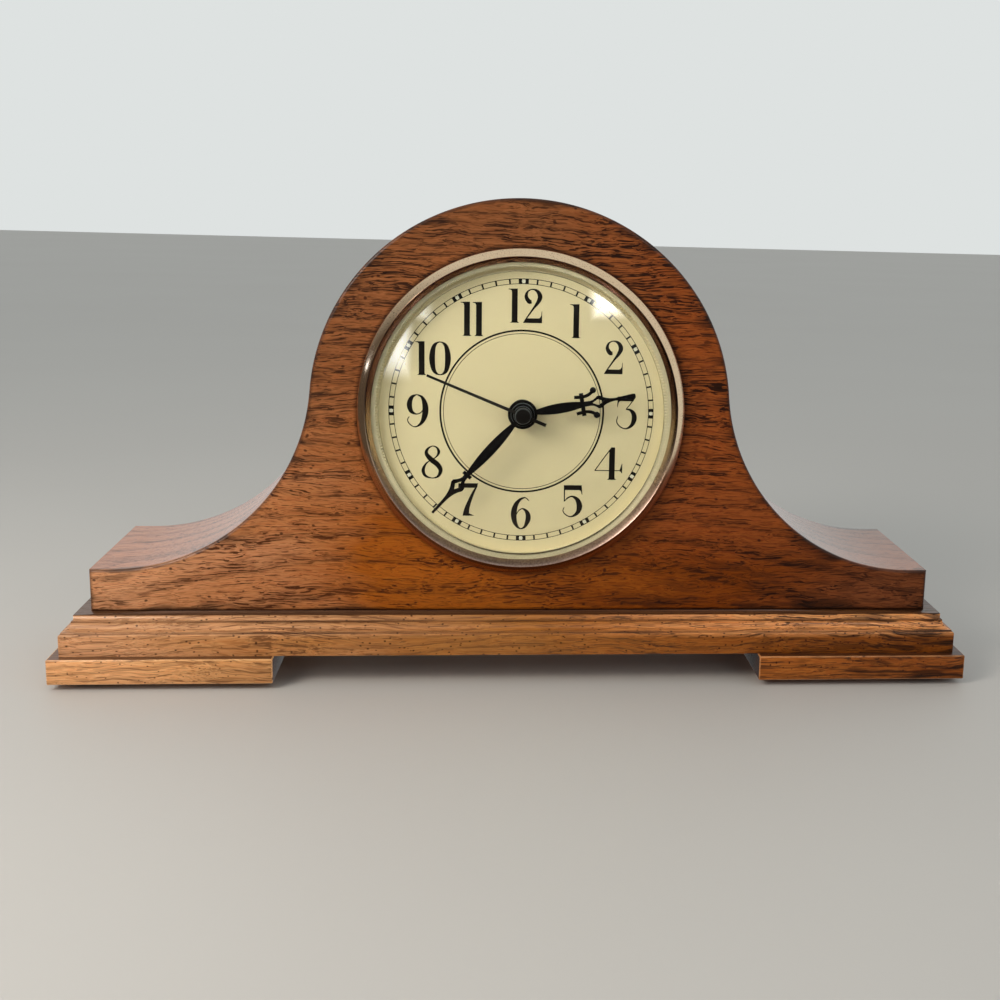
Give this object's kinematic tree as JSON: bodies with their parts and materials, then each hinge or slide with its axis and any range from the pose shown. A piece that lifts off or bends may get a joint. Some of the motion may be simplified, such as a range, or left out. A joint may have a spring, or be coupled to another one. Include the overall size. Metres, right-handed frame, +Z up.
{
  "type": "mantel clock",
  "caption": "Arched oak mantel clock on a coved plinth with block feet, with a round brass-framed quartz clock insert and a serif dial.",
  "frame": {"origin": "middle of the footprint, on the surface the clock stands on", "axes": "+X to the right seen from the front, +Y to the back, +Z up; the dial faces -Y"},
  "size_m": [0.362, 0.09, 0.19],
  "materials": {
    "oak_body": "satin lacquered oak with dark open pores",
    "oak_base": "satin lacquered oak, lighter stain",
    "bezel_brass": "polished, lacquered",
    "crystal_glass": "clear, polished",
    "dial_cream": "matte cream print",
    "black_plastic": "moulded, matte",
    "rubber": "soft matte",
    "brass": "turned",
    "nylon": "natural moulded plastic",
    "steel": "plain",
    "cell": "printed sleeve, plain",
    "board": "lacquered board",
    "coil_wire": "enamelled wire",
    "hand_black": "gloss black"
  },
  "bodies": {
    "case": {"case_body": "oak_body", "plinth": "oak_base", "left_foot": "oak_base", "right_foot": "oak_base", "foot_pads": "rubber", "case_screws": "steel", "foot_screws": "steel"},
    "clock_insert": {"bezel": "bezel_brass", "crystal": "crystal_glass", "dial_ring": "nylon", "dial": "dial_cream", "insert_can": "black_plastic", "grip_band": "rubber", "dial_gasket": "rubber", "dial_nut": "brass", "shaft_bushing": "brass", "movement_case": "black_plastic", "movement_cover": "black_plastic", "train_plate": "nylon", "contact_plus": "steel", "contact_minus": "steel", "circuit_board": "board", "quartz_can": "steel", "drive_coil": "coil_wire", "coil_core": "steel", "stator": "steel"},
    "battery": {"battery": "cell"},
    "minute": {"minute_pipe": "brass", "minute_hand": "hand_black"},
    "hour": {"hour_wheel": "nylon", "hour_hand": "hand_black"},
    "motion": {"motion_wheel": "nylon"},
    "set_knob": {"set_knob": "black_plastic"},
    "seconds": {"seconds_wheel": "nylon", "second_hand": "hand_black"},
    "third": {"third_wheel": "nylon"},
    "centre": {"centre_wheel": "nylon"},
    "fifth": {"fifth_wheel": "nylon"},
    "rotor": {"rotor": "steel"}
  },
  "joints": [
    {"name": "insert_slide", "type": "slide", "parent": "case", "child": "clock_insert", "axis": [0, -1, 0], "range_m": [0, 0.04]},
    {"name": "battery_slide", "type": "slide", "parent": "clock_insert", "child": "battery", "axis": [0, 1, 0], "range_m": [0, 0.03]},
    {"name": "minute_turn", "type": "hinge", "parent": "clock_insert", "child": "minute", "pos_m": [0, -0.0243, 0.108], "axis": [0, 1, 0], "continuous": true},
    {"name": "hour_turn", "type": "hinge", "parent": "clock_insert", "child": "hour", "pos_m": [0, -0.0243, 0.108], "axis": [0, 1, 0], "continuous": true},
    {"name": "motion_turn", "type": "hinge", "parent": "clock_insert", "child": "motion", "pos_m": [0.0076, -0.0243, 0.108], "axis": [0, 1, 0], "continuous": true},
    {"name": "set_turn", "type": "hinge", "parent": "clock_insert", "child": "set_knob", "pos_m": [0.01405, -0.0243, 0.11203], "axis": [0, 1, 0], "continuous": true},
    {"name": "seconds_turn", "type": "hinge", "parent": "clock_insert", "child": "seconds", "pos_m": [0, -0.0243, 0.108], "axis": [0, 1, 0], "continuous": true},
    {"name": "third_turn", "type": "hinge", "parent": "clock_insert", "child": "third", "pos_m": [-0.00658, -0.0243, 0.1118], "axis": [0, 1, 0], "continuous": true},
    {"name": "centre_turn", "type": "hinge", "parent": "clock_insert", "child": "centre", "pos_m": [0, -0.0243, 0.108], "axis": [0, 1, 0], "continuous": true},
    {"name": "fifth_turn", "type": "hinge", "parent": "clock_insert", "child": "fifth", "pos_m": [0.0038, -0.0243, 0.11458], "axis": [0, 1, 0], "continuous": true},
    {"name": "rotor_turn", "type": "hinge", "parent": "clock_insert", "child": "rotor", "pos_m": [0.00288, -0.0243, 0.11982], "axis": [0, 1, 0], "continuous": true}
  ],
  "couplings": [
    {"joint": "hour_turn", "follows": "minute_turn", "ratio": 0.083333},
    {"joint": "motion_turn", "follows": "minute_turn", "ratio": -0.5},
    {"joint": "set_turn", "follows": "minute_turn", "ratio": 1},
    {"joint": "third_turn", "follows": "seconds_turn", "ratio": -0.125},
    {"joint": "centre_turn", "follows": "seconds_turn", "ratio": 0.016667},
    {"joint": "fifth_turn", "follows": "seconds_turn", "ratio": -6},
    {"joint": "rotor_turn", "follows": "seconds_turn", "ratio": 30}
  ]
}
